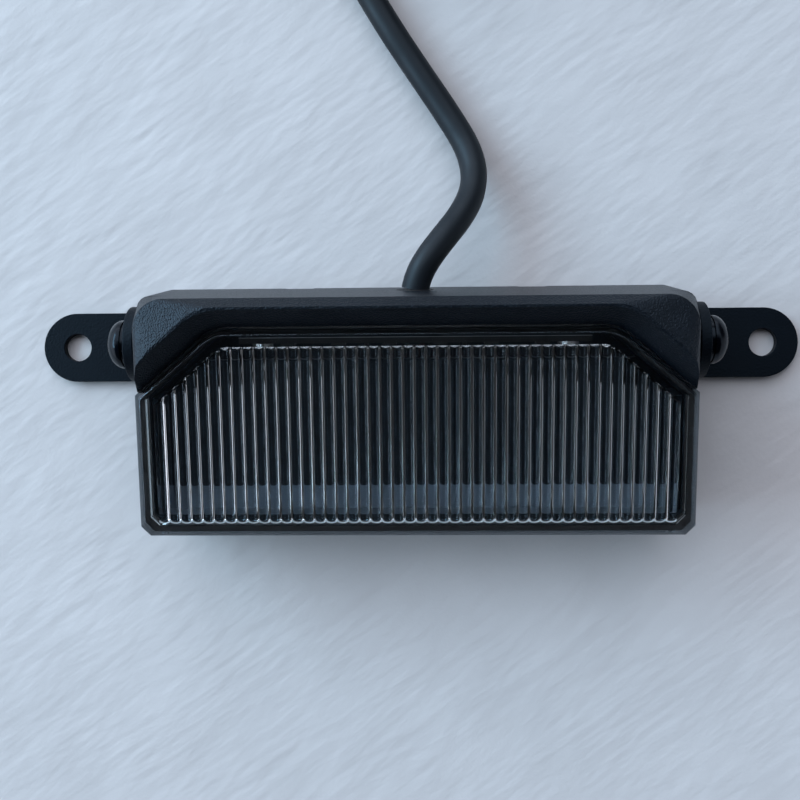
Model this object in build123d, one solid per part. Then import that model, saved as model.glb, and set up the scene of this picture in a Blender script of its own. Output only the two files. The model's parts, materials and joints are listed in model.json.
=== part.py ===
from build123d import *
import math
import os

# Reverse lamp on two turning brackets, in millimetres.
# Frame: X along the lamp, Y towards the cable side, Z away from the mounting surface.
# Origin: midway between the two mounting holes, on the underside of the ears.
# The lamp's own pieces are drawn in the lamp's frame, whose X axis is the pivot axis of the two
# side screws, Y runs up the lamp's face and Z points out of the lens, and are then put in place.

# Lamp body, measured from the pivot axis
body_width = 118.8
top_reach = 10.9
lower_reach = 41.05
back_depth = 17.0
wall_draft = 2.0
side_draft = 0.4
top_corner_radius = 6.5
rear_corner_radius = 3.2
bottom_corner_cut = 2.0
back_edge_radius = 1.5
wall = 2.6
back_wall = 3.0

# Brow over the lens
crease_level = 13.4
crest_level = 16.0
crest_land = 0.5
corner_share = 1.03
crest_side_inset = 1.2
crest_low_radius = 9.0
crest_top_radius = 10.0
cheek_inset = 1.3
bevel_width = 3.9
opening_top = 4.3
opening_half = 42.5
shoulder_drop = 10.0
opening_corner_radius = 10.0

# Lens
lens_seat = 5.0
lens_edge = 10.0
lens_chamfer = 1.4
lens_plate = 2.4
lens_wall = 2.2
lens_clearance = 0.15
seal_height = 0.6
seal_inset = 0.5
seal_width = 1.4

# Flutes on the inner face of the lens
flute_pitch = 2.4
flute_depth = 0.6
flute_root = 0.3
flute_side_border = 3.6
flute_top_border = 4.4
flute_low_border = 3.0
flute_corner_radius = 6.0

# Reflector trough behind the lens
reflector_sheet = 1.5
reflector_level = 5.0
reflector_top = 4.5
reflector_facet = 4.2
reflector_lip_gap = 0.3
reflector_end_gap = 0.4
reflector_front_gap = 0.4
post_radius = 3.0
post_inset = 12.0

# Light board under the brow
board_thickness = 1.2
pad_thickness = 0.4
led_board_width = 8.0
led_board_margin = 4.0
led_board_offset = 0.5
led_count = 6
led_size = 3.0
led_height = 0.7
led_pitch = 11.0
board_screw_radius = 1.25
board_screw_head_radius = 2.2
board_screw_head_height = 1.4
board_screw_reach = 5.0
board_screw_inset = 4.5
screw_hole_clearance = 0.1

# Driver board behind the reflector
driver_length = 56.0
driver_width = 20.0
driver_drop = 20.0
standoff_height = 0.8
standoff_radius = 2.2
standoff_inset = 3.0
driver_screw_radius = 1.0
driver_screw_head_radius = 1.8
driver_screw_head_height = 1.0
driver_screw_reach = 1.6
chip_length = 6.0
chip_width = 5.0
chip_height = 1.1
inductor_size = 6.0
inductor_height = 1.7
inductor_corner_radius = 1.0
inductor_shift = 10.0
capacitor_length = 3.2
capacitor_width = 2.5
capacitor_height = 1.6
capacitor_shift = 9.0
capacitor_spread = 3.0

# Cooling grooves in the back
groove_width = 3.0
groove_depth = 1.2
groove_pitch = 6.0
groove_border = 11.0
scoop_radius = 14.0
scoop_depth = 0.5
scoop_offset = 27.0

# Side screws, their bosses and spring washers
boss_radius = 7.5
boss_height = 0.3
screw_radius = 3.0
screw_head_radius = 5.25
screw_head_height = 3.3
screw_head_rim = 0.8
screw_bulge_place = 0.71
screw_bulge_share = 0.79
screw_socket_size = 4.0
screw_socket_depth = 2.0
screw_reach = 10.0
screw_hole_spare = 1.5
thread_clearance = 0.05
washer_height = 1.6
washer_radius = 4.95
washer_bore_clearance = 0.1
washer_split = 1.0
face_clearance = 0.05

# Brackets
sheet_thickness = 2.2
sheet_bend_radius = 2.5
ear_radius = 8.2
ear_hole_radius = 3.25
hole_spacing = 163.0
pivot_height = 21.7
pivot_fit = 0.08

# Cable, from the top wall to the coil
cable_diameter = 6.2
cable_depth = 7.3
cable_seal_wall = 1.1
cable_tail = 3.0
exit_run = 3.4
core_radius = 0.9
core_gap = 0.4
core_end_length = 16.0
coil_mean_radius = 36.5
coil_height = 12.4
coil_centre_x = 5.2
coil_centre_y = 136.3
coil_edge_cut = 2.0
arc_share = 0.45
tie_thickness = 0.5
tie_width = 5.0

# Derived levels and places
draft_slope = math.tan(math.radians(wall_draft))
side_slope = math.tan(math.radians(side_draft))
back_inner = back_wall - back_depth
lens_front = lens_edge + lens_chamfer
lens_base = lens_seat + seal_height
plate_inner = lens_front - lens_plate
cavity_top = opening_top - wall
cavity_low = wall - lower_reach
boss_face = body_width / 2 + boss_height
tab_inner = boss_face + face_clearance
tab_outer = tab_inner + sheet_thickness
washer_inner = tab_outer + face_clearance
head_inner = washer_inner + washer_height
cable_radius = cable_diameter / 2
driver_under = back_inner + standoff_height
driver_top = driver_under + board_thickness
reflector_back = -reflector_level - reflector_sheet

# The lamp leans back on its screws until its lower back edge meets the mounting surface
lean_depth = back_depth - back_edge_radius
lean_reach = lower_reach + back_depth * draft_slope - back_edge_radius
lean_height = pivot_height - back_edge_radius
lamp_lean = math.asin(lean_height / math.hypot(lean_depth, lean_reach)) - math.atan2(lean_depth, lean_reach)
lamp_place = Pos(0, 0, pivot_height) * Rot(math.degrees(lamp_lean), 0, 0)

# The opening's sloping side runs from its shoulder on the lamp's side to the end of its top edge
shoulder_half = body_width / 2 - lens_edge * side_slope
slope_angle = math.atan2(opening_top + shoulder_drop, shoulder_half - opening_half)
slope_normal = (math.sin(slope_angle), math.cos(slope_angle))
slope_reach = opening_half * slope_normal[0] + opening_top * slope_normal[1]


def slope_height(across, spread):
    # height of the sloping side, moved outwards by spread, at a distance across from the middle
    return (slope_reach + spread - across * slope_normal[0]) / slope_normal[1]


def top_half(spread):
    # half length of the opening's top edge when the whole opening grows by spread
    return (slope_reach + spread - (opening_top + spread) * slope_normal[1]) / slope_normal[0]


def body_half(level):
    return body_width / 2 - level * side_slope


def body_low(level):
    return level * draft_slope - lower_reach


def body_top(level):
    return top_reach - level * draft_slope


def body_outline(level, corner_radius):
    # outer outline of the housing at a level, smaller towards the front by the drafts
    middle = (body_top(level) + body_low(level)) / 2
    outline = Pos(0, middle) * Rectangle(2 * body_half(level), body_top(level) - body_low(level))
    outline = fillet(outline.vertices().group_by(Axis.Y)[-1], corner_radius)
    outline = chamfer(outline.vertices().group_by(Axis.Y)[0], bottom_corner_cut)
    return Pos(0, 0, level) * outline


def face_outline(side, low, spread, corner_radius, corner_cut=0.0):
    # outline with the opening's sloping shoulders: straight sides and bottom, rounded top corners
    right = [(side, low), (side, slope_height(side, spread)), (top_half(spread), opening_top + spread)]
    left = [(-x, y) for x, y in reversed(right)]
    outline = make_face(Polyline(*right, *left, close=True))
    outline = fillet(outline.vertices().group_by(Axis.Y)[-1], corner_radius)
    if corner_cut:
        outline = chamfer(outline.vertices().group_by(Axis.Y)[0], corner_cut)
    return outline


def rounded_wire(corners, radii, level):
    # closed outline at a level, each corner rounded by its own radius or left sharp
    outline = make_face(Polyline(*corners, close=True))
    for (x, y), radius in zip(corners, radii):
        if radius:
            outline = fillet(outline.vertices().sort_by_distance((x, y, 0))[0], radius)
    return Pos(0, 0, level) * outline


def brow_outline(level, half):
    # outline of the brow's block: square below, each top corner rounded in two equal arcs
    top = body_top(level)
    low = body_low(level)
    cut = corner_share * top_corner_radius * math.sqrt(2) * math.tan(math.pi / 8)
    right = [(half, low), (half, top - cut), (half - cut, top)]
    left = [(-x, y) for x, y in reversed(right)]
    radii = [0, top_corner_radius, top_corner_radius]
    return rounded_wire(right + left, radii + radii[::-1], level)


def crest_outline():
    # outline of the crest around the lens, with its rounded shoulders
    spread = bevel_width + crest_land
    side = body_half(crease_level) - cheek_inset - crest_side_inset
    low = body_low(crease_level) + crest_side_inset
    right = [(side, low), (side, slope_height(side, spread)), (top_half(spread), opening_top + spread)]
    left = [(-x, y) for x, y in reversed(right)]
    radii = [0, crest_low_radius, crest_top_radius]
    return rounded_wire(right + left, radii + radii[::-1], crest_level)


def brow_block():
    # the brow's sides lean in up to the crease, then the cap slopes on to the crest
    crease = brow_outline(crease_level, body_half(crease_level) - cheek_inset)
    sides = loft([brow_outline(lens_seat, body_half(lens_seat)), crease], ruled=True)
    return sides + loft([crease, crest_outline()], ruled=True)


def round_bar(radius, start, end):
    # cylinder between two points
    axis = Vector(end) - Vector(start)
    return extrude(Plane(origin=start, z_dir=axis) * Circle(radius), axis.length)


def mirrored_x(shape):
    return mirror(shape, about=Plane.YZ)


def board_screw_places():
    across = top_half(-wall) - led_board_margin - board_screw_inset
    return [(-across, led_board_offset), (across, led_board_offset)]


def driver_corners():
    across = driver_length / 2 - standoff_inset
    along = driver_width / 2 - standoff_inset
    return [(sx * across, sy * along - driver_drop) for sx in (-1, 1) for sy in (-1, 1)]


def make_housing():
    rear = body_outline(-back_depth, rear_corner_radius)
    body = loft([rear, body_outline(lens_seat, top_corner_radius)], ruled=True)
    body = fillet(body.faces().sort_by(Axis.Z)[0].edges(), back_edge_radius)
    body += brow_block()
    # pivot bosses on both sides
    body += round_bar(boss_radius, (-boss_face, 0, 0), (boss_face, 0, 0))
    # pocket for the lens, then the brow's inner bevel opening outwards from the lens edge
    past = body_width
    pocket = face_outline(past, -past, 0, opening_corner_radius)
    bevel_angle = math.degrees(math.atan2(bevel_width, crest_level - lens_edge))
    body -= Pos(0, 0, lens_seat) * extrude(pocket, lens_edge - lens_seat)
    body -= Pos(0, 0, lens_edge) * extrude(pocket, crest_level - lens_edge, taper=-bevel_angle)
    cavity = face_outline(body_half(lens_seat) - wall, cavity_low, -wall, opening_corner_radius - wall, wall)
    body -= Pos(0, 0, back_inner) * extrude(cavity, lens_seat - back_inner)
    # standoffs for the driver board and posts behind the reflector
    for x, y in driver_corners():
        body += round_bar(standoff_radius, (x, y, back_inner), (x, y, back_inner + standoff_height))
    post_across = body_half(lens_seat) - wall - post_inset
    for x in (-post_across, post_across):
        body += round_bar(post_radius, (x, -driver_drop, back_inner), (x, -driver_drop, reflector_back))
    # tapped holes of the side screws, the light board and the driver board
    hole = screw_radius + thread_clearance
    depth = boss_face - screw_reach - screw_hole_spare
    for side in (-1, 1):
        body -= round_bar(hole, (side * depth, 0, 0), (side * boss_face, 0, 0))
    hole = board_screw_radius + thread_clearance
    for x, z in board_screw_places():
        body -= round_bar(hole, (x, cavity_top, z), (x, cavity_top + board_screw_reach, z))
    hole = driver_screw_radius + thread_clearance
    for x, y in driver_corners():
        body -= round_bar(hole, (x, y, back_inner - driver_screw_reach), (x, y, driver_under))
    # passage of the cable through the top wall
    passage = cable_radius + cable_seal_wall
    body -= round_bar(passage, (0, cavity_top - wall, -cable_depth), (0, top_reach + wall, -cable_depth))
    # cooling grooves in the back, and the two scoops in its upper edge
    groove_top = top_reach - groove_border
    groove_length = lower_reach + groove_top - groove_border
    groove_field = body_width - 2 * groove_border
    groove_count = int(groove_field // groove_pitch)
    groove = extrude(SlotOverall(groove_length, groove_width, rotation=90), groove_depth)
    groove = Pos(0, groove_top - groove_length / 2, -back_depth) * groove
    row = GridLocations(groove_pitch, groove_pitch, groove_count, 1)
    body -= [place * groove for place in row]
    for side in (-1, 1):
        centre = body_top(-back_depth) + scoop_radius - scoop_depth
        scoop = Pos(side * scoop_offset, centre, -back_depth) * extrude(Circle(scoop_radius), back_wall)
        body -= scoop
    return body


def lens_outline(inset):
    side = body_half(lens_edge) - inset
    low = body_low(lens_edge) + inset
    return face_outline(side, low, -inset, opening_corner_radius - inset, bottom_corner_cut)


def make_lens():
    outer = lens_outline(lens_clearance)
    lens = Pos(0, 0, lens_base) * extrude(outer, lens_edge - lens_base)
    lens += Pos(0, 0, lens_edge) * extrude(outer, lens_chamfer, taper=45)
    hollow = lens_outline(lens_clearance + lens_wall)
    lens -= Pos(0, 0, lens_base) * extrude(hollow, plate_inner - lens_base)
    return lens + flute_field()


def flute_field():
    # side-by-side convex flutes along Y on the plate's inner face, ending in 45 degree ramps
    half_room = body_half(lens_edge) - lens_clearance - flute_side_border
    count = int(2 * half_room // flute_pitch)
    half = count * flute_pitch / 2
    root = plate_inner + flute_root
    edges = [Line((-half, plate_inner), (-half, root)), Line((-half, root), (half, root))]
    edges.append(Line((half, root), (half, plate_inner)))
    for index in range(count):
        end = half - index * flute_pitch
        middle = (end - flute_pitch / 2, plate_inner - flute_depth)
        edges.append(ThreePointArc((end, plate_inner), middle, (end - flute_pitch, plate_inner)))
    strip = extrude(Plane.XZ * make_face(edges), lower_reach + top_reach, both=True)
    low = body_low(lens_edge) + flute_low_border + flute_depth
    crest = face_outline(half - flute_depth, low, -flute_top_border - flute_depth, flute_corner_radius)
    ramps = Pos(0, 0, plate_inner - flute_depth) * extrude(crest, flute_depth + flute_root, taper=-45)
    return strip & ramps


def make_lens_seal():
    outer = lens_outline(lens_clearance + seal_inset)
    inner = lens_outline(lens_clearance + seal_inset + seal_width)
    return Pos(0, 0, lens_seat) * extrude(outer - inner, seal_height)


def make_reflector():
    # back wall, sloping lower facet and lip in one sheet, with an end wall at each side
    low = cavity_low + reflector_lip_gap
    front = lens_base - reflector_front_gap
    facet_top = low + reflector_sheet + reflector_facet
    turn = reflector_sheet * math.tan(math.pi / 8)
    facet_front = reflector_facet - reflector_level
    section = [
        (-reflector_top, reflector_back), (-reflector_top, -reflector_level), (facet_top, -reflector_level),
        (low + reflector_sheet, facet_front), (low + reflector_sheet, front), (low, front),
        (low, facet_front - turn), (facet_top - turn, reflector_back),
    ]
    half = body_half(lens_seat) - wall - reflector_end_gap
    sheet = extrude(Plane.YZ * make_face(Polyline(*section, close=True)), half, both=True)
    end_section = [
        (slope_height(half, -wall - reflector_end_gap), reflector_back),
        (slope_height(half, -wall - reflector_end_gap), front),
        (low, front), (low, facet_front - turn), (facet_top - turn, reflector_back),
    ]
    end_wall = extrude(Plane.YZ * make_face(Polyline(*end_section, close=True)), reflector_sheet)
    sheet += Pos(half - reflector_sheet, 0, 0) * end_wall
    sheet += Pos(-half, 0, 0) * end_wall
    # its corners follow the housing's sloping shoulders and cut lower corners
    cavity = face_outline(half, low, -wall - reflector_end_gap, opening_corner_radius - wall, wall)
    return sheet & (Pos(0, 0, -back_depth) * extrude(cavity, back_depth + lens_front))


def light_board_outline(thickness, level):
    # plate under the cavity's top wall, with the screw holes
    length = 2 * (top_half(-wall) - led_board_margin)
    plate = Pos(0, level - thickness / 2, led_board_offset) * Box(length, thickness, led_board_width)
    for x, z in board_screw_places():
        hole = board_screw_radius + screw_hole_clearance
        plate -= round_bar(hole, (x, level - 2 * thickness, z), (x, level + thickness, z))
    return plate


def make_leds():
    level = cavity_top - pad_thickness - board_thickness - led_height / 2
    led = Pos(0, level, led_board_offset) * Box(led_size, led_height, led_size)
    return Compound([place * led for place in GridLocations(led_pitch, 1, led_count, 1)])


def make_board_screws():
    under = cavity_top - pad_thickness - board_thickness
    tip = cavity_top + board_screw_reach - screw_hole_clearance
    screws = []
    for x, z in board_screw_places():
        head = round_bar(board_screw_head_radius, (x, under - board_screw_head_height, z), (x, under, z))
        shank = round_bar(board_screw_radius, (x, under, z), (x, tip, z))
        screws.append(head + shank)
    return Compound(screws)


def make_driver_board():
    board = Box(driver_length, driver_width, board_thickness)
    board = Pos(0, -driver_drop, driver_under + board_thickness / 2) * board
    for x, y in driver_corners():
        hole = driver_screw_radius + screw_hole_clearance
        board -= round_bar(hole, (x, y, driver_under - board_thickness), (x, y, driver_top + board_thickness))
    return board


def make_driver_screws():
    low = back_inner - driver_screw_reach + screw_hole_clearance
    head_top = driver_top + driver_screw_head_height
    screws = []
    for x, y in driver_corners():
        head = round_bar(driver_screw_head_radius, (x, y, driver_top), (x, y, head_top))
        shank = round_bar(driver_screw_radius, (x, y, low), (x, y, driver_top))
        screws.append(head + shank)
    return Compound(screws)


def on_driver(x, y, length, width, height):
    # block standing on the driver board
    return Pos(x, y - driver_drop, driver_top + height / 2) * Box(length, width, height)


def make_inductor():
    block = on_driver(inductor_shift, 0, inductor_size, inductor_size, inductor_height)
    return fillet(block.edges().filter_by(Axis.Z), inductor_corner_radius)


def make_capacitors():
    sizes = (capacitor_length, capacitor_width, capacitor_height)
    pair = [-capacitor_spread, capacitor_spread]
    return Compound([on_driver(-capacitor_shift, y, *sizes) for y in pair])


def wire_path(points):
    # straight runs joined by tangent arcs, each as large as its two runs allow
    points = [Vector(point) for point in points]
    radii = []
    for before, corner, after in zip(points, points[1:], points[2:]):
        back = before - corner
        ahead = after - corner
        half_turn = math.radians(180 - back.get_angle(ahead)) / 2
        radii.append(arc_share * min(back.length, ahead.length) / math.tan(half_turn))
    return FilletPolyline(*points, radius=radii), radii


def round_tube(radius, points):
    path, radii = wire_path(points)
    section = Plane(origin=points[0], z_dir=Vector(points[1]) - Vector(points[0])) * Circle(radius)
    return sweep(section, path=path), path, radii


def inner_wire(start, end):
    # wire inside the housing: leaves the jacket straight, then lies down on the driver board
    away = (start[0], start[1] - core_radius, start[2])
    bend = (end[0], start[1] - 3 * core_radius, end[2])
    return round_tube(core_radius, [start, away, bend, end])[0]


core_offset = core_radius + core_gap / 2
jacket_end = cavity_top - cable_tail
wire_landing = -driver_drop + driver_width / 2 - 2 * core_radius


def make_supply_lead(side):
    start = (side * core_offset, jacket_end, -cable_depth)
    end = (side * 2 * core_offset, wire_landing, driver_top + core_radius)
    return inner_wire(start, end)


def make_led_lead(side):
    board_back = led_board_offset - led_board_width / 2
    level = cavity_top - pad_thickness - board_thickness / 2
    start = (side * led_pitch, level, board_back)
    away = (side * led_pitch, level, board_back - core_radius)
    drop = (side * led_pitch, -reflector_top + 3 * core_radius, reflector_back - core_radius)
    end = (side * led_pitch, wire_landing, driver_top + core_radius)
    return round_tube(core_radius / 2, [start, away, drop, end])[0]


def make_cable_seal():
    bottom = (0, cavity_top, -cable_depth)
    top = (0, body_top(-cable_depth), -cable_depth)
    return round_bar(cable_radius + cable_seal_wall, bottom, top) - round_bar(cable_radius, bottom, top)


def make_screw():
    # button head with a hexagon socket, its axis along X, head outwards
    swell = screw_head_height - screw_head_rim
    profile = [
        Line((0, 0), (screw_head_radius, 0)),
        Line((screw_head_radius, 0), (screw_head_radius, screw_head_rim)),
        ThreePointArc(
            (screw_head_radius, screw_head_rim),
            (screw_head_radius * screw_bulge_place, screw_head_rim + swell * screw_bulge_share),
            (screw_socket_size / 2, screw_head_height),
        ),
        Line((screw_socket_size / 2, screw_head_height), (0, screw_head_height)),
        Line((0, screw_head_height), (0, 0)),
    ]
    head = revolve(Plane.XZ * make_face(profile), Axis.Z)
    socket = extrude(RegularPolygon(screw_socket_size / 2, 6, major_radius=False), screw_socket_depth)
    head -= Pos(0, 0, screw_head_height - screw_socket_depth) * socket
    shank = round_bar(screw_radius, (0, 0, boss_face - screw_reach - head_inner), (0, 0, 0))
    return Pos(head_inner, 0, 0) * Rot(0, 90, 0) * (head + shank)


def make_washer():
    # split spring ring under the screw head
    ring = Circle(washer_radius) - Circle(screw_radius + washer_bore_clearance)
    split = Pos(0, washer_radius, 0) * Rectangle(washer_split, 2 * washer_radius)
    return Pos(washer_inner, 0, 0) * Rot(0, 90, 0) * extrude(ring - split, washer_height)


def make_bracket():
    # folded sheet: an ear on the mounting surface and a tab up to the side screw, ends fully rounded
    ear_end = hole_spacing / 2 + ear_radius
    top = pivot_height + ear_radius
    corners = [
        (tab_inner, 0), (ear_end, 0), (ear_end, sheet_thickness), (tab_outer, sheet_thickness),
        (tab_outer, top), (tab_inner, top),
    ]
    section = make_face(Polyline(*corners, close=True))
    outside = section.vertices().sort_by_distance((tab_inner, 0, 0))[0]
    section = fillet(outside, sheet_bend_radius + sheet_thickness)
    inside = section.vertices().sort_by_distance((tab_outer, sheet_thickness, 0))[0]
    section = fillet(inside, sheet_bend_radius)
    folded = extrude(Plane.XZ * section, ear_radius, both=True)
    ear_plan = Rectangle(hole_spacing, 2 * ear_radius) + Pos(hole_spacing / 2, 0) * Circle(ear_radius)
    ear_plan -= Pos(hole_spacing / 2, 0) * Circle(ear_hole_radius)
    tab_plan = Rectangle(2 * ear_radius, 2 * pivot_height) + Pos(0, pivot_height) * Circle(ear_radius)
    tab_plan -= Pos(0, pivot_height) * Circle(screw_radius + pivot_fit)
    folded &= extrude(ear_plan, top)
    return folded & extrude(Plane.YZ * tab_plan, ear_end)


# Cable route: out of the top wall, down to the mounting surface and on to the coil
cable_exit = (lamp_place * Pos(0, body_top(-cable_depth), -cable_depth)).position
cable_straight = (lamp_place * Pos(0, body_top(-cable_depth) + exit_run, -cable_depth)).position
cable_route = [
    cable_exit, cable_straight, (1.4, 18.2, 16.3), (4.3, 21.6, 15.4), (7.7, 25.8, 13.6),
    (11.2, 30.6, 11.0), (13.6, 36.8, 8.1), (14.1, 43.2, 5.5), (11.8, 49.4, 3.8), (7.4, 56.0, 3.15),
    (2.0, 63.6, 3.1), (-3.8, 72.8, 3.1), (-10.8, 84.8, 3.1), (-18.8, 97.2, 3.2), (-26.2, 110.2, 3.4),
    (-31.7, 122.0, 3.7),
]
tail_route = [(44.8, 136.3, 9.8), (45.4, 129.1, 9.0), (46.6, 121.6, 6.0), (48.2, 114.4, 3.4)]


def make_cable(points):
    tube, path, radii = round_tube(cable_radius, points)
    print("cable radii", [round(radius, 1) for radius in radii])
    print("cable volume share", tube.volume / (math.pi * cable_radius**2 * path.length))
    return tube


def make_cable_inside():
    # the jacket's last stretch, inside the wall and the seal
    return round_bar(cable_radius, (0, jacket_end, -cable_depth), (0, body_top(-cable_depth), -cable_depth))


def coil_section(grow):
    section = Rectangle(2 * cable_diameter + 2 * grow, coil_height + 2 * grow)
    return chamfer(section.vertices(), coil_edge_cut + grow / 2)


coil_middle = tie_thickness + coil_height / 2
coil_place = Pos(coil_centre_x, coil_centre_y, coil_middle)


def make_coil():
    # outer shape of the neatly wound turns, lying flat
    return coil_place * revolve(Plane.XZ * Pos(coil_mean_radius, 0) * coil_section(0), Axis.Z)


def make_tie():
    # flat band round the coil's turns
    band = extrude(Plane.YZ * (coil_section(tie_thickness) - coil_section(0)), tie_width / 2, both=True)
    return coil_place * Pos(0, coil_mean_radius, 0) * band


def make_core_end(side):
    # stripped core out of the jacket's far end, sinking to the mounting surface
    end = Vector(tail_route[-1])
    way = (end - Vector(tail_route[-2])).normalized()
    across = way.cross(Vector(0, 0, 1)).normalized() * side * core_offset
    level_way = Vector(way.X, way.Y, 0).normalized()
    start = end + across
    away = start + way * core_end_length / 5
    low = Vector(away.X, away.Y, core_radius) + across + level_way * core_end_length / 3
    tip = low + across + level_way * core_end_length / 2
    return round_tube(core_radius, [start, away, low, tip])[0]


def write(name, shape):
    export_step(shape, f"parts/{name}.step")


def main():
    os.makedirs("parts", exist_ok=True)
    lamp_pieces = {
        "housing": make_housing(),
        "lens": make_lens(),
        "lens_seal": make_lens_seal(),
        "reflector": make_reflector(),
        "thermal_pad": light_board_outline(pad_thickness, cavity_top),
        "led_board": light_board_outline(board_thickness, cavity_top - pad_thickness),
        "leds": make_leds(),
        "led_board_screws": make_board_screws(),
        "driver_board": make_driver_board(),
        "driver_screws": make_driver_screws(),
        "driver_chip": on_driver(0, 0, chip_length, chip_width, chip_height),
        "inductor": make_inductor(),
        "capacitors": make_capacitors(),
        "supply_lead_plus": make_supply_lead(1),
        "supply_lead_minus": make_supply_lead(-1),
        "led_lead_plus": make_led_lead(1),
        "led_lead_minus": make_led_lead(-1),
        "cable_seal": make_cable_seal(),
        "cable_inside": make_cable_inside(),
        "pivot_screw_right": make_screw(),
        "pivot_screw_left": mirrored_x(make_screw()),
        "spring_washer_right": make_washer(),
        "spring_washer_left": mirrored_x(make_washer()),
    }
    for name, shape in lamp_pieces.items():
        write(name, lamp_place * shape)
    write("bracket_right", make_bracket())
    write("bracket_left", mirrored_x(make_bracket()))
    write("cable", make_cable(cable_route))
    write("cable_coil", make_coil())
    write("coil_tie", make_tie())
    write("cable_end", make_cable(tail_route))
    write("core_plus", make_core_end(1))
    write("core_minus", make_core_end(-1))


main()
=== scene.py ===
import json
import math

import bmesh
import bpy
import numpy as np
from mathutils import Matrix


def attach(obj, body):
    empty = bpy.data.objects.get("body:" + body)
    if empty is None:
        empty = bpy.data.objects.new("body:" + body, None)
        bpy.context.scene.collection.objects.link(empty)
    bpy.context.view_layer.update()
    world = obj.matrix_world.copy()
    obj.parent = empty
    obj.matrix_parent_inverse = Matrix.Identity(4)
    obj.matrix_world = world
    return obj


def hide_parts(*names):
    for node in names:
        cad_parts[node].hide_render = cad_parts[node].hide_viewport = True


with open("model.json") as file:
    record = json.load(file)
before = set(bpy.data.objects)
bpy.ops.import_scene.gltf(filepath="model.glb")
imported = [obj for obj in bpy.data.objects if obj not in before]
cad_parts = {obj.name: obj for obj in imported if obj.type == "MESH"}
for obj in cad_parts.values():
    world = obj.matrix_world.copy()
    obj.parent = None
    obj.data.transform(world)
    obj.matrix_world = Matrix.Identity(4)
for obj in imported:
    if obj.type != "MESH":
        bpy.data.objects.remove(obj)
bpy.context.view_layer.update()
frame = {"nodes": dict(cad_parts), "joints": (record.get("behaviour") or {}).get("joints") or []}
nodes = frame["nodes"]
mm = 0.001
print("frame loaded,", len(nodes), "nodes")


# mesh helpers

def meshPiece(name, vertices, faces, body):  # new object at the origin from arrays in metres
    mesh = bpy.data.meshes.new(name)
    mesh.from_pydata(vertices.tolist(), [], faces)
    mesh.validate()
    piece = bpy.data.objects.new(name, mesh)
    bpy.context.scene.collection.objects.link(piece)
    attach(piece, body)
    return piece


def smoothBelow(mesh, degrees):  # smooth shading, with sharp edges where faces turn by more than this
    mesh.polygons.foreach_set("use_smooth", np.ones(len(mesh.polygons), dtype=bool))
    mesh.set_sharp_from_angle(angle=math.radians(degrees))


def nodePoints(name):  # a node's vertices as an array, in metres
    mesh = nodes[name].data
    points = np.empty(len(mesh.vertices) * 3)
    mesh.vertices.foreach_get("co", points)
    return points.reshape(-1, 3)


# the lamp's own frame: Y up its face and Z out of the lens, turned about the pivot axis

def lampLean():  # the lens's flat front says how far the lamp leans back
    mesh = nodes["lens"].data
    normals = np.empty(len(mesh.polygons) * 3)
    areas = np.empty(len(mesh.polygons))
    mesh.polygons.foreach_get("normal", normals)
    mesh.polygons.foreach_get("area", areas)
    normals = normals.reshape(-1, 3)
    forward = normals[:, 2] > 0.9  # within about 26 degrees of straight up
    front = (normals[forward] * areas[forward, None]).sum(axis=0)
    return math.atan2(-front[1], front[2])


lean = lampLean()
pivotZ = frame["joints"][0]["pos_m"][2]


def lampToFrame(points):  # lamp millimetres to frame metres
    x, y, z = (np.asarray(points) * mm).T
    up = y * math.cos(lean) - z * math.sin(lean)
    out = y * math.sin(lean) + z * math.cos(lean) + pivotZ
    return np.stack([x, up, out], axis=1)


def frameToLamp(points):  # frame metres to lamp millimetres
    x, y, z = np.asarray(points).T
    z = z - pivotZ
    up = y * math.cos(lean) + z * math.sin(lean)
    out = z * math.cos(lean) - y * math.sin(lean)
    return np.stack([x, up, out], axis=1) / mm


# material helpers

def newMaterial(name, color, roughness, **sockets):
    material = bpy.data.materials.new(name)
    material.use_nodes = True
    shader = material.node_tree.nodes["Principled BSDF"]
    shader.inputs["Base Color"].default_value = (*color, 1)
    shader.inputs["Roughness"].default_value = roughness
    for socket, value in sockets.items():
        shader.inputs[socket.replace("_", " ")].default_value = value
    return material


def noiseHeight(material, size, detail=2.0, stretch=(1, 1, 1), turn=0):  # noise, its size in mm
    tree = material.node_tree
    coords = tree.nodes.new("ShaderNodeTexCoord")
    mapping = tree.nodes.new("ShaderNodeMapping")
    noise = tree.nodes.new("ShaderNodeTexNoise")
    mapping.vector_type = "TEXTURE"
    mapping.inputs["Scale"].default_value = stretch
    mapping.inputs["Rotation"].default_value = (0, 0, turn)
    noise.inputs["Scale"].default_value = 1 / (size * mm)
    noise.inputs["Detail"].default_value = detail
    tree.links.new(coords.outputs["Object"], mapping.inputs["Vector"])
    tree.links.new(mapping.outputs["Vector"], noise.inputs["Vector"])
    return noise.outputs["Fac"]


def addBump(material, layers):  # layers of (height, depth in mm), each laid on the one before
    tree = material.node_tree
    shader = tree.nodes["Principled BSDF"]
    normal = None
    for height, depth in layers:
        bump = tree.nodes.new("ShaderNodeBump")
        bump.inputs["Distance"].default_value = depth * mm
        tree.links.new(height, bump.inputs["Height"])
        if normal:
            tree.links.new(normal, bump.inputs["Normal"])
        normal = bump.outputs["Normal"]
    tree.links.new(normal, shader.inputs["Normal"])


def mottle(material, socket, height, low, high, start=0.35, end=0.65):  # a height drives a socket
    tree = material.node_tree
    ramp = tree.nodes.new("ShaderNodeValToRGB")
    ramp.color_ramp.elements[0].position = start
    ramp.color_ramp.elements[1].position = end
    asColor = lambda value: (*value, 1) if isinstance(value, tuple) else (value, value, value, 1)
    ramp.color_ramp.elements[0].color = asColor(low)
    ramp.color_ramp.elements[1].color = asColor(high)
    tree.links.new(height, ramp.inputs["Fac"])
    tree.links.new(ramp.outputs["Color"], tree.nodes["Principled BSDF"].inputs[socket])


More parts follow.
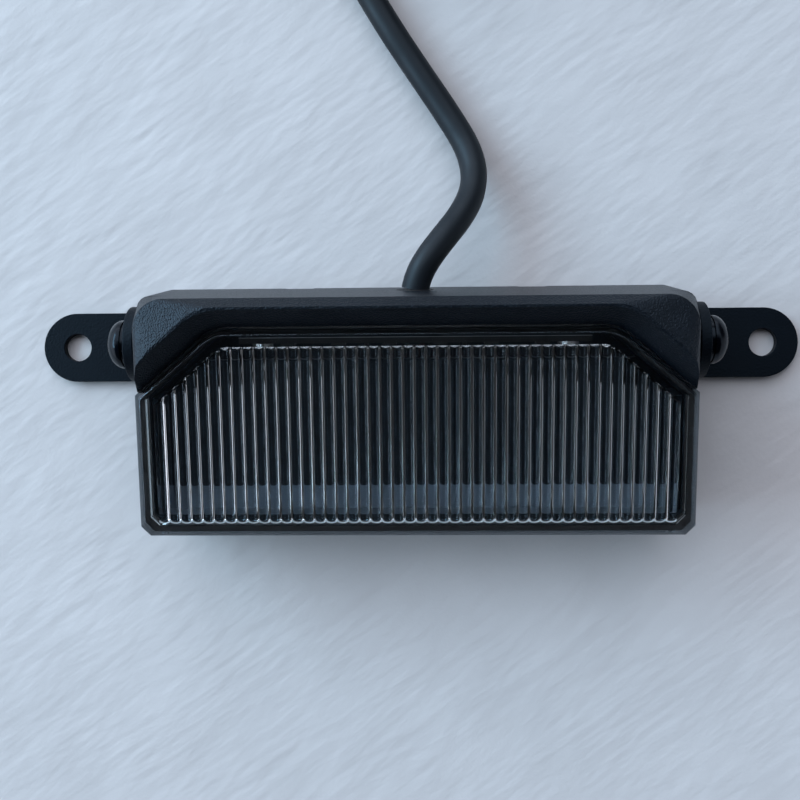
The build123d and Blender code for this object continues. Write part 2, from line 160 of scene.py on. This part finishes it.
def facing(material, toward):  # 1 where a face looks this way, 0 across it, less where it looks away
    tree = material.node_tree
    geometry = tree.nodes.new("ShaderNodeNewGeometry")
    dot = tree.nodes.new("ShaderNodeVectorMath")
    dot.operation = "DOT_PRODUCT"
    dot.inputs[1].default_value = toward
    tree.links.new(geometry.outputs["True Normal"], dot.inputs[0])
    return dot.outputs["Value"]


def multiply(tree, first, second):  # product of two sockets
    product = tree.nodes.new("ShaderNodeMath")
    product.operation = "MULTIPLY"
    tree.links.new(first, product.inputs[0])
    tree.links.new(second, product.inputs[1])
    return product.outputs["Value"]


def dress(piece, material):
    piece.data.materials.clear()
    piece.data.materials.append(material)


# finishes

blueSheen = (0.62, 0.82, 1.0, 1)  # tint of what the coats and the clear cap reflect


def bodyCoat():  # black coat with a leathery grain
    material = newMaterial("bodyCoat", color=(0.0014, 0.0026, 0.005), roughness=0.38,
                           Specular_IOR_Level=0.33, Specular_Tint=blueSheen)
    patches = noiseHeight(material, size=6.0)
    mottle(material, "Base Color", patches, low=(0.001, 0.002, 0.004), high=(0.0018, 0.0032, 0.006))
    addBump(material, [(noiseHeight(material, size=0.34, detail=0.5), 0.19)])
    return material


def bracketCoat():  # finer black coat on the sheet
    material = newMaterial("bracketCoat", color=(0.0014, 0.0026, 0.005), roughness=0.5,
                           Specular_IOR_Level=0.17, Specular_Tint=(0.55, 0.8, 1.0, 1))
    mottle(material, "Roughness", noiseHeight(material, size=9.0), low=0.44, high=0.54)
    addBump(material, [(noiseHeight(material, size=0.45, detail=1.0), 0.09)])
    return material


def screwCoat():  # glossy black screw
    material = newMaterial("screwCoat", color=(0.0012, 0.002, 0.004), roughness=0.14,
                           Specular_IOR_Level=0.22, Specular_Tint=blueSheen)
    addBump(material, [(noiseHeight(material, size=1.2), 0.012)])
    return material


def clearCap():  # clear polished plastic, milky where the frost layer says so
    material = newMaterial("clearCap", color=(0.93, 0.98, 1.0), roughness=0.015,
                           Transmission_Weight=1.0, IOR=1.585, Specular_Tint=blueSheen)
    tree = material.node_tree
    frost = tree.nodes.new("ShaderNodeAttribute")
    frost.attribute_name = "frost"
    milk = tree.nodes.new("ShaderNodeBsdfDiffuse")
    milk.inputs["Color"].default_value = (0.8, 0.85, 0.9, 1)
    blend = tree.nodes.new("ShaderNodeMixShader")
    tree.links.new(frost.outputs["Fac"], blend.inputs["Fac"])
    tree.links.new(tree.nodes["Principled BSDF"].outputs["BSDF"], blend.inputs[1])
    tree.links.new(milk.outputs["BSDF"], blend.inputs[2])
    tree.links.new(blend.outputs["Shader"], tree.nodes["Material Output"].inputs["Surface"])
    return material


def darkTrough():  # dark gloss, with a painted sheen: a paler base colour on the facet that looks up the lamp, for the sky light it reflects
    gloss, paintedSheen = (0.0015, 0.0035, 0.006), (0.10, 0.13, 0.17)
    material = newMaterial("darkTrough", color=gloss, roughness=0.3,
                           Specular_IOR_Level=0.25, Specular_Tint=(0.6, 0.84, 1.0, 1))
    # painted sheen: the facet that looks up the lamp gets a paler base colour in place of the sky light it
    # reflects
    paintedSheenMask = facing(material, (0, math.cos(lean), math.sin(lean)))
    mottle(material, "Base Color", paintedSheenMask, low=gloss, high=paintedSheen, start=0.5, end=0.6)
    addBump(material, [(noiseHeight(material, size=4.0, detail=1.0), 0.01)])
    return material


def leadJacket():  # matte black lead
    material = newMaterial("leadJacket", color=(0.0018, 0.003, 0.0055), roughness=0.5,
                           Specular_IOR_Level=0.38, Specular_Tint=(0.7, 0.88, 1.0, 1))
    mottle(material, "Roughness", noiseHeight(material, size=7.0), low=0.46, high=0.58)
    addBump(material, [(noiseHeight(material, size=0.5, detail=3.0), 0.012)])
    return material


def plainPlastic(name, color, roughness=0.5, grain=0.4):  # plain colour, a fifth darker in patches
    material = newMaterial(name, color, roughness)
    shade = tuple(0.8 * value for value in color)
    mottle(material, "Base Color", noiseHeight(material, size=3.0), low=shade, high=color)
    addBump(material, [(noiseHeight(material, size=grain), 0.01)])
    return material


def ledBlock():  # yellow only on the face that looks down into the trough, dark on the sides
    side, glow = (0.02, 0.02, 0.022), (0.8, 0.66, 0.16)
    material = plainPlastic("ledBlock", side, roughness=0.4)
    lookDown = facing(material, (0, -math.cos(lean), -math.sin(lean)))
    mottle(material, "Base Color", lookDown, low=side, high=glow, start=0.8, end=0.9)
    return material


def boardSteel():  # turned steel of the small screws
    material = newMaterial("boardSteel", color=(0.55, 0.56, 0.58), roughness=0.3, Metallic=1.0)
    mottle(material, "Roughness", noiseHeight(material, size=0.6), low=0.24, high=0.38)
    addBump(material, [(noiseHeight(material, size=0.3, detail=1.0), 0.008)])
    return material


finishes = {
    "housing": bodyCoat(), "bracket": bracketCoat(), "screw": screwCoat(), "lens": clearCap(),
    "mirror": darkTrough(), "lead": leadJacket(),
    "seal": plainPlastic("sealRubber", (0.016, 0.016, 0.018), roughness=0.6),
    "pad": plainPlastic("padRubber", (0.35, 0.37, 0.4), roughness=0.7),
    "lightBoard": plainPlastic("lightBoard", (0.008, 0.008, 0.009), roughness=0.4, grain=0.5),
    "greenBoard": plainPlastic("greenBoard", (0.03, 0.18, 0.09), roughness=0.35, grain=0.5),
    "phosphor": ledBlock(),
    "steel": boardSteel(),
    "chip": plainPlastic("chipBlack", (0.02, 0.02, 0.022), grain=0.3),
    "ceramic": plainPlastic("ceramicTan", (0.5, 0.36, 0.22), grain=0.3),
    "innerRed": plainPlastic("innerRed", (0.05, 0.006, 0.006)),
    "coreRed": plainPlastic("coreRed", (0.45, 0.03, 0.03), roughness=0.4),
    "coreDark": plainPlastic("coreDark", (0.03, 0.03, 0.035), roughness=0.4),
    "tie": plainPlastic("tieBlack", (0.025, 0.025, 0.027), roughness=0.35, grain=0.5),
}
nodeFinish = {
    "housing": "housing", "lens_seal": "seal", "reflector": "mirror", "thermal_pad": "pad",
    "led_board": "lightBoard", "leds": "phosphor", "led_board_screws": "steel",
    "driver_board": "greenBoard", "driver_chip": "chip", "inductor": "chip", "capacitors": "ceramic",
    "driver_screws": "steel", "led_lead_plus": "coreDark", "led_lead_minus": "coreDark",
    "supply_lead_plus": "innerRed", "supply_lead_minus": "coreDark", "cable_seal": "seal",
    "cable_inside": "lead", "bracket_left": "bracket", "bracket_right": "bracket",
    "pivot_screw_left": "screw", "pivot_screw_right": "screw", "spring_washer_left": "screw",
    "spring_washer_right": "screw", "coil_tie": "tie", "core_plus": "coreRed", "core_minus": "coreDark",
}
for name, finish in nodeFinish.items():
    dress(nodes[name], finishes[finish])
print("finishes made,", len(finishes))


# rounded copies of the solids that show their edges

softEdges = {
    "housing": {"body": "lamp", "slot": "body_black", "width": 0.3},
    "bracket_left": {"body": "left_bracket", "slot": "bracket_black", "width": 0.35},
    "bracket_right": {"body": "right_bracket", "slot": "bracket_black", "width": 0.35},
    "pivot_screw_left": {"body": "lamp", "slot": "screw_black", "width": 0.2},
    "pivot_screw_right": {"body": "lamp", "slot": "screw_black", "width": 0.2},
    "spring_washer_left": {"body": "lamp", "slot": "washer_black", "width": 0.15},
    "spring_washer_right": {"body": "lamp", "slot": "washer_black", "width": 0.15},
}
softening = {"mergeWithin": 0.002, "flatWithin": 0.03, "segments": 3, "sharperThan": 24.0}

# the body's outline at its back, at the lens seat and at the crease: half width, top edge, and the round
# of its top corners in the solid and here
brow = {
    "levels": (-17.0, 5.0, 13.4), "halves": (59.519, 59.365, 58.006), "tops": (11.499, 10.73, 10.437),
    "radii": (3.2, 6.5, 6.61), "tightRadii": (2.7, 2.9, 6.61), "wallSlack": 0.2,
    "creaseLevel": 13.4, "creaseWidth": 1.3, "crestLevel": 16.0, "crestWidth": 0.23,
    "levelSlack": 0.02, "sharperThan": 12.0, "segments": 5,
}


def fillCorners(shape):
    # each point of a top corner's round goes straight out from the round's centre, either on to the flat
    # wall or on to the tighter round: the far root of the distance to that round's centre
    places = frameToLamp(np.array([vertex.co for vertex in shape.verts]))
    x, y, level = places.T
    keys = ("halves", "tops", "radii", "tightRadii")
    half, top, radius, tight = (np.interp(level, brow["levels"], brow[key]) for key in keys)
    outX, outY = radius - half + np.abs(x), radius - top + y
    reach = np.hypot(outX, outY)
    inCorner = (outX > 0) & (outY > 0)
    onWall = inCorner & (level < brow["creaseLevel"]) & (np.abs(reach - radius) < brow["wallSlack"])
    alongX, alongY = np.where(onWall, [outX, outY], radius) / np.where(onWall, reach, radius)
    flat = radius / np.maximum(alongX, alongY)
    inset = radius - tight
    both = inset * (alongX + alongY)
    arc = both + np.sqrt(np.maximum(both**2 - 2 * inset**2 + tight**2, 0))
    goal = np.where(flat * np.minimum(alongX, alongY) <= inset, flat, arc)
    shift = np.where(onWall, np.maximum(goal - radius, 0), 0)
    moved = lampToFrame(np.stack([x + np.sign(x) * alongX * shift, y + alongY * shift, level], axis=1))
    for vertex, place in zip(shape.verts, moved):
        vertex.co = place
    print("brow corners filled, by", round(float(shift.max()), 2), "mm at most")


def roundBrow(shape):  # rounding along the brow's crease and crest
    for line in ("crease", "crest"):
        level, width = brow[line + "Level"], brow[line + "Width"]
        heights = frameToLamp(np.array([vertex.co for vertex in shape.verts]))[:, 2]
        shape.verts.index_update()
        edges = [edge for edge in shape.edges
                 if edge.is_manifold and edge.calc_face_angle() > math.radians(brow["sharperThan"])
                 and all(abs(heights[vertex.index] - level) < brow["levelSlack"] for vertex in edge.verts)]
        bmesh.ops.bevel(shape, geom=edges, offset=width * mm, offset_type="OFFSET",
                        segments=brow["segments"], profile=0.5, affect="EDGES", clamp_overlap=True)
        print("brow rounded along", len(edges), "edges of its", line)


def softCopy(name, body, slot, width):  # the solid with its flat faces joined and its edges rounded
    shape = bmesh.new()
    shape.from_mesh(nodes[name].data)
    bmesh.ops.remove_doubles(shape, verts=shape.verts, dist=softening["mergeWithin"] * mm)
    flatAngle = math.radians(softening["flatWithin"])
    bmesh.ops.dissolve_limit(shape, angle_limit=flatAngle, verts=shape.verts, edges=shape.edges)
    if name == "housing":
        fillCorners(shape)
        roundBrow(shape)
    mesh = bpy.data.meshes.new(name + "_soft")
    shape.to_mesh(mesh)
    shape.free()
    mesh.polygons.foreach_set("use_smooth", np.ones(len(mesh.polygons), dtype=bool))
    piece = bpy.data.objects.new(name + "_soft", mesh)
    bpy.context.scene.collection.objects.link(piece)
    bevel = piece.modifiers.new("rounding", "BEVEL")
    bevel.width = width * mm
    bevel.segments = softening["segments"]
    bevel.limit_method = "ANGLE"
    bevel.angle_limit = math.radians(softening["sharperThan"])
    bevel.harden_normals = True
    level = piece.modifiers.new("levelFaces", "WEIGHTED_NORMAL")  # large flat faces shade flat
    level.keep_sharp = True
    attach(piece, body)
    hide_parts(name)
    dress(piece, finishes[nodeFinish[name]])


for name, values in softEdges.items():
    softCopy(name, **values)
print("edges rounded on", len(softEdges), "pieces")


# fluted lens

lens = {
    "shoulderAngle": 40.35, "cornerRadius": 9.85, "cornerCut": 2.0,
    "chamfer": 1.4, "plate": 2.4, "wall": 2.2, "edgeRadius": 0.4, "edgeSteps": 4,
    "flutePitch": 2.4, "fluteDepth": 0.6, "fluteSteps": 14, "borderSteps": 3,
    "sideBorder": 3.6, "topBorder": 4.25, "lowBorder": 2.85, "slack": 0.01,
    "rampSlope": 2.0, "noseLength": 0.6, "frostWidth": 0.22, "frostReach": 1.5,
    "lowBand": 2.4, "topBand": 7.4, "lowRows": 26, "middleRows": 10, "topRows": 24, "sharperThan": 30.0,
}


def lensPiece():
    solid = frameToLamp(nodePoints("lens"))
    side, topEdge, front = solid.max(axis=0)
    low, base = solid.min(axis=0)[1:]
    onSide = np.abs(solid[:, 0]) > side - lens["slack"]
    shoulder = solid[onSide, 1].max()
    turn = math.radians(lens["shoulderAngle"])
    across, along = math.sin(turn), math.cos(turn)
    reach = side * across + shoulder * along

    def lowLine(x, inset):  # bottom edge with its cut corners
        cut = np.maximum(np.abs(x) - (side - inset - lens["cornerCut"]), 0)
        return low + inset + cut

    def topLine(x, inset):  # top edge, arc of the rounded corner, then the sloping shoulder
        radius = lens["cornerRadius"] - inset
        centreY = topEdge - inset - radius
        centreX = (reach - inset - radius - centreY * along) / across
        x = np.abs(x)
        bow = np.sqrt(np.maximum(radius**2 - np.maximum(x - centreX, 0)**2, 0))
        slope = (reach - inset - x * across) / along
        return np.where(x < centreX + radius * across, centreY + bow, slope)

    # columns: every flute in equal steps, plus the borders, as shares of the half width
    hollow = lens["wall"]
    count = int(2 * (side - lens["sideBorder"]) // lens["flutePitch"])
    half = count * lens["flutePitch"] / 2
    inner = np.linspace(-half, half, count * lens["fluteSteps"] + 1)
    edge = np.linspace(half, side - hollow, lens["borderSteps"] + 1)[1:]
    columns = np.concatenate([-edge[::-1], inner, edge]) / (side - hollow)
    # rows: close together in the bands where the flutes run out
    lowRows = np.linspace(0, 1, lens["lowRows"])
    middleRows = np.linspace(0, 1, lens["middleRows"])[1:-1]
    topRows = np.linspace(0, 1, lens["topRows"])

    def gridY(x, inset):
        bottom, top = lowLine(x, inset), topLine(x, inset)
        first, last = bottom + lens["lowBand"], top - lens["topBand"]
        lowPart = bottom[:, None] + lens["lowBand"] * lowRows
        middlePart = first[:, None] + (last - first)[:, None] * middleRows
        topPart = last[:, None] + lens["topBand"] * topRows
        return np.concatenate([lowPart, middlePart, topPart], axis=1)

    def ring(inset, level):  # outline in order: bottom, right, top, left
        x = columns * (side - inset)
        y = gridY(x, inset)
        column = np.ones(y.shape[1])
        bottom = np.stack([x, y[:, 0]], axis=1)
        right = np.stack([x[-1] * column, y[-1]], axis=1)
        top = np.stack([x, y[:, -1]], axis=1)
        left = np.stack([x[0] * column, y[0]], axis=1)
        flat = np.concatenate([bottom, right[1:], top[::-1][1:], left[::-1][1:-1]])
        return np.column_stack([flat, np.full(len(flat), level)])

    def rounded(inset, level, startTurn, endTurn):  # arc that rounds one edge of the outer profile
        radius = lens["edgeRadius"]
        middle = (startTurn + endTurn) / 2
        away = radius / math.cos((endTurn - startTurn) / 2)
        centreInset, centreLevel = inset + away * math.sin(middle), level - away * math.cos(middle)
        return [ring(centreInset - radius * math.sin(angle), centreLevel + radius * math.cos(angle))
                for angle in np.linspace(startTurn, endTurn, lens["edgeSteps"])]

    plateInner = front - lens["plate"]
    eighth = math.pi / 4
    rings = rounded(lens["chamfer"], front, 0, eighth)
    rings += rounded(0, front - lens["chamfer"], eighth, 2 * eighth)
    rings += [ring(0, base), ring(hollow, base)]
    ringSize = len(rings[0])
    rimStart = len(rings) * ringSize
    # inner face: a round bar's arc across each flute, closed by a rounded nose at the lower end and cut
    # off by a steep ramp at the field's upper border
    x = columns * (side - hollow)
    y = gridY(x, hollow)
    xs = np.repeat(x[:, None], y.shape[1], axis=1)
    pitch, depth = lens["flutePitch"], lens["fluteDepth"]
    bar = ((pitch / 2)**2 + depth**2) / (2 * depth)
    offset = np.mod(xs + half, pitch) - pitch / 2
    noseTop = low + lens["lowBorder"] + lens["noseLength"]
    nose = np.maximum(noseTop - y, 0) / lens["noseLength"] * pitch / 2
    away = np.sqrt(offset**2 + nose**2)
    arc = np.sqrt(np.maximum(bar**2 - away**2, 0)) - (bar - depth)
    arc[np.abs(xs) > half - 1e-9] = 0
    fromTop = topLine(xs, lens["topBorder"]) - y
    fromShoulder = reach - lens["topBorder"] - np.abs(xs) * across - y * along
    ramp = lens["rampSlope"] * np.minimum(fromTop, fromShoulder)
    drop = np.clip(np.minimum(arc, ramp), 0, depth)
    # the milky rim follows each nose's edge
    inNose = (y < noseTop) & (np.abs(xs) < half)
    fromEdge = np.abs(away - pitch / 2)
    frost = np.where(inNose, np.clip(lens["frostReach"] - fromEdge / lens["frostWidth"], 0, 1), 0)
    face = np.stack([xs, y, plateInner - drop], axis=2)
    rows = y.shape[1]
    number = np.arange(face.shape[0] * rows).reshape(-1, rows) + rimStart
    corners = (number[:-1, :-1], number[:-1, 1:], number[1:, 1:], number[1:, :-1])
    quads = np.stack(corners, axis=2).reshape(-1, 4)
    rim = np.concatenate([number[:, 0], number[-1, 1:], number[::-1, -1][1:], number[0, ::-1][1:-1]])

    faces = [list(range(ringSize))]
    loops = [np.arange(ringSize) + index * ringSize for index in range(len(rings))] + [rim]
    for outer, nextLoop in zip(loops, loops[1:]):
        strip = np.stack([outer, nextLoop, np.roll(nextLoop, -1), np.roll(outer, -1)], axis=1)
        faces += strip.tolist()
    faces += quads.tolist()
    points = np.concatenate(rings + [face.reshape(-1, 3)])
    piece = meshPiece("lens_fluted", lampToFrame(points), faces, "lamp")
    frostLayer = piece.data.attributes.new("frost", "FLOAT", "POINT")
    frostLayer.data.foreach_set("value", np.concatenate([np.zeros(rimStart), frost.ravel()]))
    smoothBelow(piece.data, lens["sharperThan"])
    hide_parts("lens")
    dress(piece, finishes["lens"])
    print("lens made,", count, "flutes,", len(faces), "faces")


lensPiece()


# lead: out of the top wall, down to the surface, on to a tied coil and its bare end

lead = {
    "diameter": 6.2, "length": 0.956,
    "route": [
        (0, 11.95, 15.79), (0.6, 14.7, 16.15), (2.9, 18.9, 16.1), (6.6, 23.8, 14.6), (10.6, 29.0, 12.0),
        (13.3, 34.6, 9.0), (13.8, 40.4, 6.4), (12.3, 46.2, 4.4), (9.2, 51.8, 3.4), (5.0, 58.3, 3.12),
        (-0.2, 66.0, 3.1), (-5.5, 74.1, 3.1), (-10.6, 82.6, 3.1), (-18.6, 96.6, 3.2),
        (-26.0, 110.0, 3.4), (-31.7, 122.0, 3.6),
    ],
    "coilCentre": (5.2, 136.3), "coilRadius": 36.5, "coilBase": 0.5, "turnPoints": 18, "wholeTurns": 3,
    "inAt": 0.98, "upAt": 1.95, "outAt": 2.92, "stepRate": 22.0,  # turns gone at each change of place
    "alongSteps": 6, "roundSteps": 5,
    "tail": [(44.8, 136.3, 9.8), (45.4, 129.1, 9.0), (46.6, 121.6, 6.0), (48.2, 114.4, 3.4)],
}


def coilPoints():  # turns beside and on each other: outer and inner below, inner and outer above
    centreX, centreY = lead["coilCentre"]
    lastX, lastY = lead["route"][-1][:2]
    start = math.atan2(lastY - centreY, lastX - centreX) % (2 * math.pi)
    sweep = start + lead["wholeTurns"] * 2 * math.pi
    steps = int(sweep / (2 * math.pi) * lead["turnPoints"])
    gone = np.linspace(0, sweep, steps + 1)[1:-1]
    turns = gone / (2 * math.pi)
    stepAt = lambda place: 1 / (1 + np.exp((place - turns) * lead["stepRate"]))
    half = lead["diameter"] / 2
    inward = stepAt(lead["inAt"]) - stepAt(lead["outAt"])
    cutIn = math.cos(math.pi / lead["turnPoints"])**0.5  # the curve runs inside its control points
    radius = (lead["coilRadius"] + half - 2 * half * inward) / cutIn
    level = lead["coilBase"] + half + 2 * half * stepAt(lead["upAt"])
    angle = start - gone
    return np.stack([centreX + radius * np.cos(angle), centreY + radius * np.sin(angle), level], axis=1)


def leadPiece():
    points = np.concatenate([np.array(lead["route"]), coilPoints(), np.array(lead["tail"])]) * mm
    curve = bpy.data.curves.new("lead", "CURVE")
    curve.dimensions = "3D"
    spline = curve.splines.new("NURBS")
    spline.points.add(len(points) - 1)
    spline.points.foreach_set("co", np.column_stack([points, np.ones(len(points))]).ravel())
    spline.order_u = 3
    spline.use_endpoint_u = True
    spline.resolution_u = lead["alongSteps"]
    curve.bevel_depth = lead["diameter"] / 2 * mm
    curve.bevel_resolution = lead["roundSteps"]
    curve.use_fill_caps = True
    piece = bpy.data.objects.new("lead", curve)
    bpy.context.scene.collection.objects.link(piece)
    dress(piece, finishes["lead"])
    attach(piece, "lamp")
    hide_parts("cable", "cable_coil", "cable_end")
    print("lead made,", len(points), "points")


leadPiece()


# floor, light and camera

floorValues = {
    "size": 20.0, "color": (0.6, 0.612, 0.632), "shade": (0.567, 0.578, 0.597), "roughness": 0.55,
    "strokeTurn": 0.62, "strokeSize": 2.8, "strokeStretch": 3.4, "strokeDepth": 0.4, "patchSize": 15.0,
    "swellSize": 12.0, "swellStretch": 1.8, "swellDepth": 0.4,
    "fineSize": 1.0, "fineDepth": 0.03, "shadeSize": 26.0,
}


def floorPiece():
    half = floorValues["size"] / 2
    mesh = bpy.data.meshes.new("floor")
    corners = [(-half, -half, 0), (half, -half, 0), (half, half, 0), (-half, half, 0)]
    mesh.from_pydata(corners, [], [(0, 1, 2, 3)])
    floor = bpy.data.objects.new("floor", mesh)
    bpy.context.scene.collection.objects.link(floor)
    material = newMaterial("paintedFloor", floorValues["color"], floorValues["roughness"])
    turn = floorValues["strokeTurn"]
    long, longer = (floorValues["swellStretch"], 1, 1), (floorValues["strokeStretch"], 1, 1)
    swell = noiseHeight(material, floorValues["swellSize"], detail=1.5, stretch=long, turn=turn)
    strokes = noiseHeight(material, floorValues["strokeSize"], detail=1.5, stretch=longer, turn=turn)
    patches = noiseHeight(material, floorValues["patchSize"])
    fine = noiseHeight(material, floorValues["fineSize"], detail=1.0)
    broken = multiply(material.node_tree, strokes, patches)  # strokes come and go in patches
    addBump(material, [(swell, floorValues["swellDepth"]), (broken, floorValues["strokeDepth"]),
                       (fine, floorValues["fineDepth"])])
    cloudy = noiseHeight(material, floorValues["shadeSize"], detail=3.0)
    mottle(material, "Base Color", cloudy, floorValues["shade"], floorValues["color"])
    dress(floor, material)


lightValues = {
    "skyColor": (0.88, 0.9, 1.0), "skyStrength": 2.06,
    "brightSide": (-0.76, 0.54, 0.36), "brightFrom": -0.3, "brightTo": 0.85, "dimShare": 0.34,
    "darkSide": (0.05, -0.55, 0.83), "darkFrom": 0.52, "darkTo": 0.80, "darkShare": 0.015,
    "farSide": (0.79, 0.55, 0.25), "farFrom": 0.78, "farTo": 0.95, "farShare": 0.08,
    "keyPlace": (-1.6, 0.5, 1.0), "keySize": (2.0, 0.72), "keyPower": 29.6, "keyColor": (0.47, 0.79, 1.0),
}


def skyShare(tree, side, away, toward):  # from one value to another as a direction nears this side
    coords = tree.nodes.new("ShaderNodeTexCoord")
    dot = tree.nodes.new("ShaderNodeVectorMath")
    dot.operation = "DOT_PRODUCT"
    dot.inputs[1].default_value = lightValues[side + "Side"]
    share = tree.nodes.new("ShaderNodeMapRange")
    share.interpolation_type = "SMOOTHSTEP"
    share.inputs["From Min"].default_value = lightValues[side + "From"]
    share.inputs["From Max"].default_value = lightValues[side + "To"]
    share.inputs["To Min"].default_value = away
    share.inputs["To Max"].default_value = toward
    tree.links.new(coords.outputs["Generated"], dot.inputs[0])
    tree.links.new(dot.outputs["Value"], share.inputs["Value"])
    return share.outputs["Result"]


def softLight():
    # a pale sky, strongest towards one side, dark above the front where the onlooker stands and low on
    # the far side, with one wide lamp
    world = bpy.data.worlds.new("studio")
    world.use_nodes = True
    tree = world.node_tree
    background = tree.nodes["Background"]
    background.inputs["Color"].default_value = (*lightValues["skyColor"], 1)
    strength = lightValues["skyStrength"]
    sky = skyShare(tree, "bright", lightValues["dimShare"] * strength, strength)
    for side in ("dark", "far"):
        sky = multiply(tree, sky, skyShare(tree, side, 1, lightValues[side + "Share"]))
    tree.links.new(sky, background.inputs["Strength"])
    bpy.context.scene.world = world
    lamp = bpy.data.lights.new("keyLight", "AREA")
    lamp.shape = "RECTANGLE"
    lamp.size, lamp.size_y = lightValues["keySize"]
    lamp.energy = lightValues["keyPower"]
    lamp.color = lightValues["keyColor"]
    key = bpy.data.objects.new("keyLight", lamp)
    key.location = lightValues["keyPlace"]
    key.rotation_euler = (-key.location).to_track_quat("-Z", "Y").to_euler()
    key.visible_camera = False
    bpy.context.scene.collection.objects.link(key)


cameraValues = {
    "place": (3.628, -7.715, 233.453), "turn": (-0.0234, 0.0328, -0.0072),
    "focalPixels": 970.365, "imagePixels": 800, "sensor": 36.0, "near": 0.01,
}


def photoCamera():
    data = bpy.data.cameras.new("photoCamera")
    data.sensor_width = cameraValues["sensor"]
    data.lens = cameraValues["focalPixels"] / cameraValues["imagePixels"] * cameraValues["sensor"]
    data.clip_start = cameraValues["near"]
    camera = bpy.data.objects.new("photoCamera", data)
    camera.location = [value * mm for value in cameraValues["place"]]
    camera.rotation_euler = cameraValues["turn"]
    bpy.context.scene.collection.objects.link(camera)
    bpy.context.scene.camera = camera


floorPiece()
softLight()
photoCamera()
bpy.context.scene.view_settings.view_transform = "Standard"
print("stage made")

bpy.context.view_layer.update()
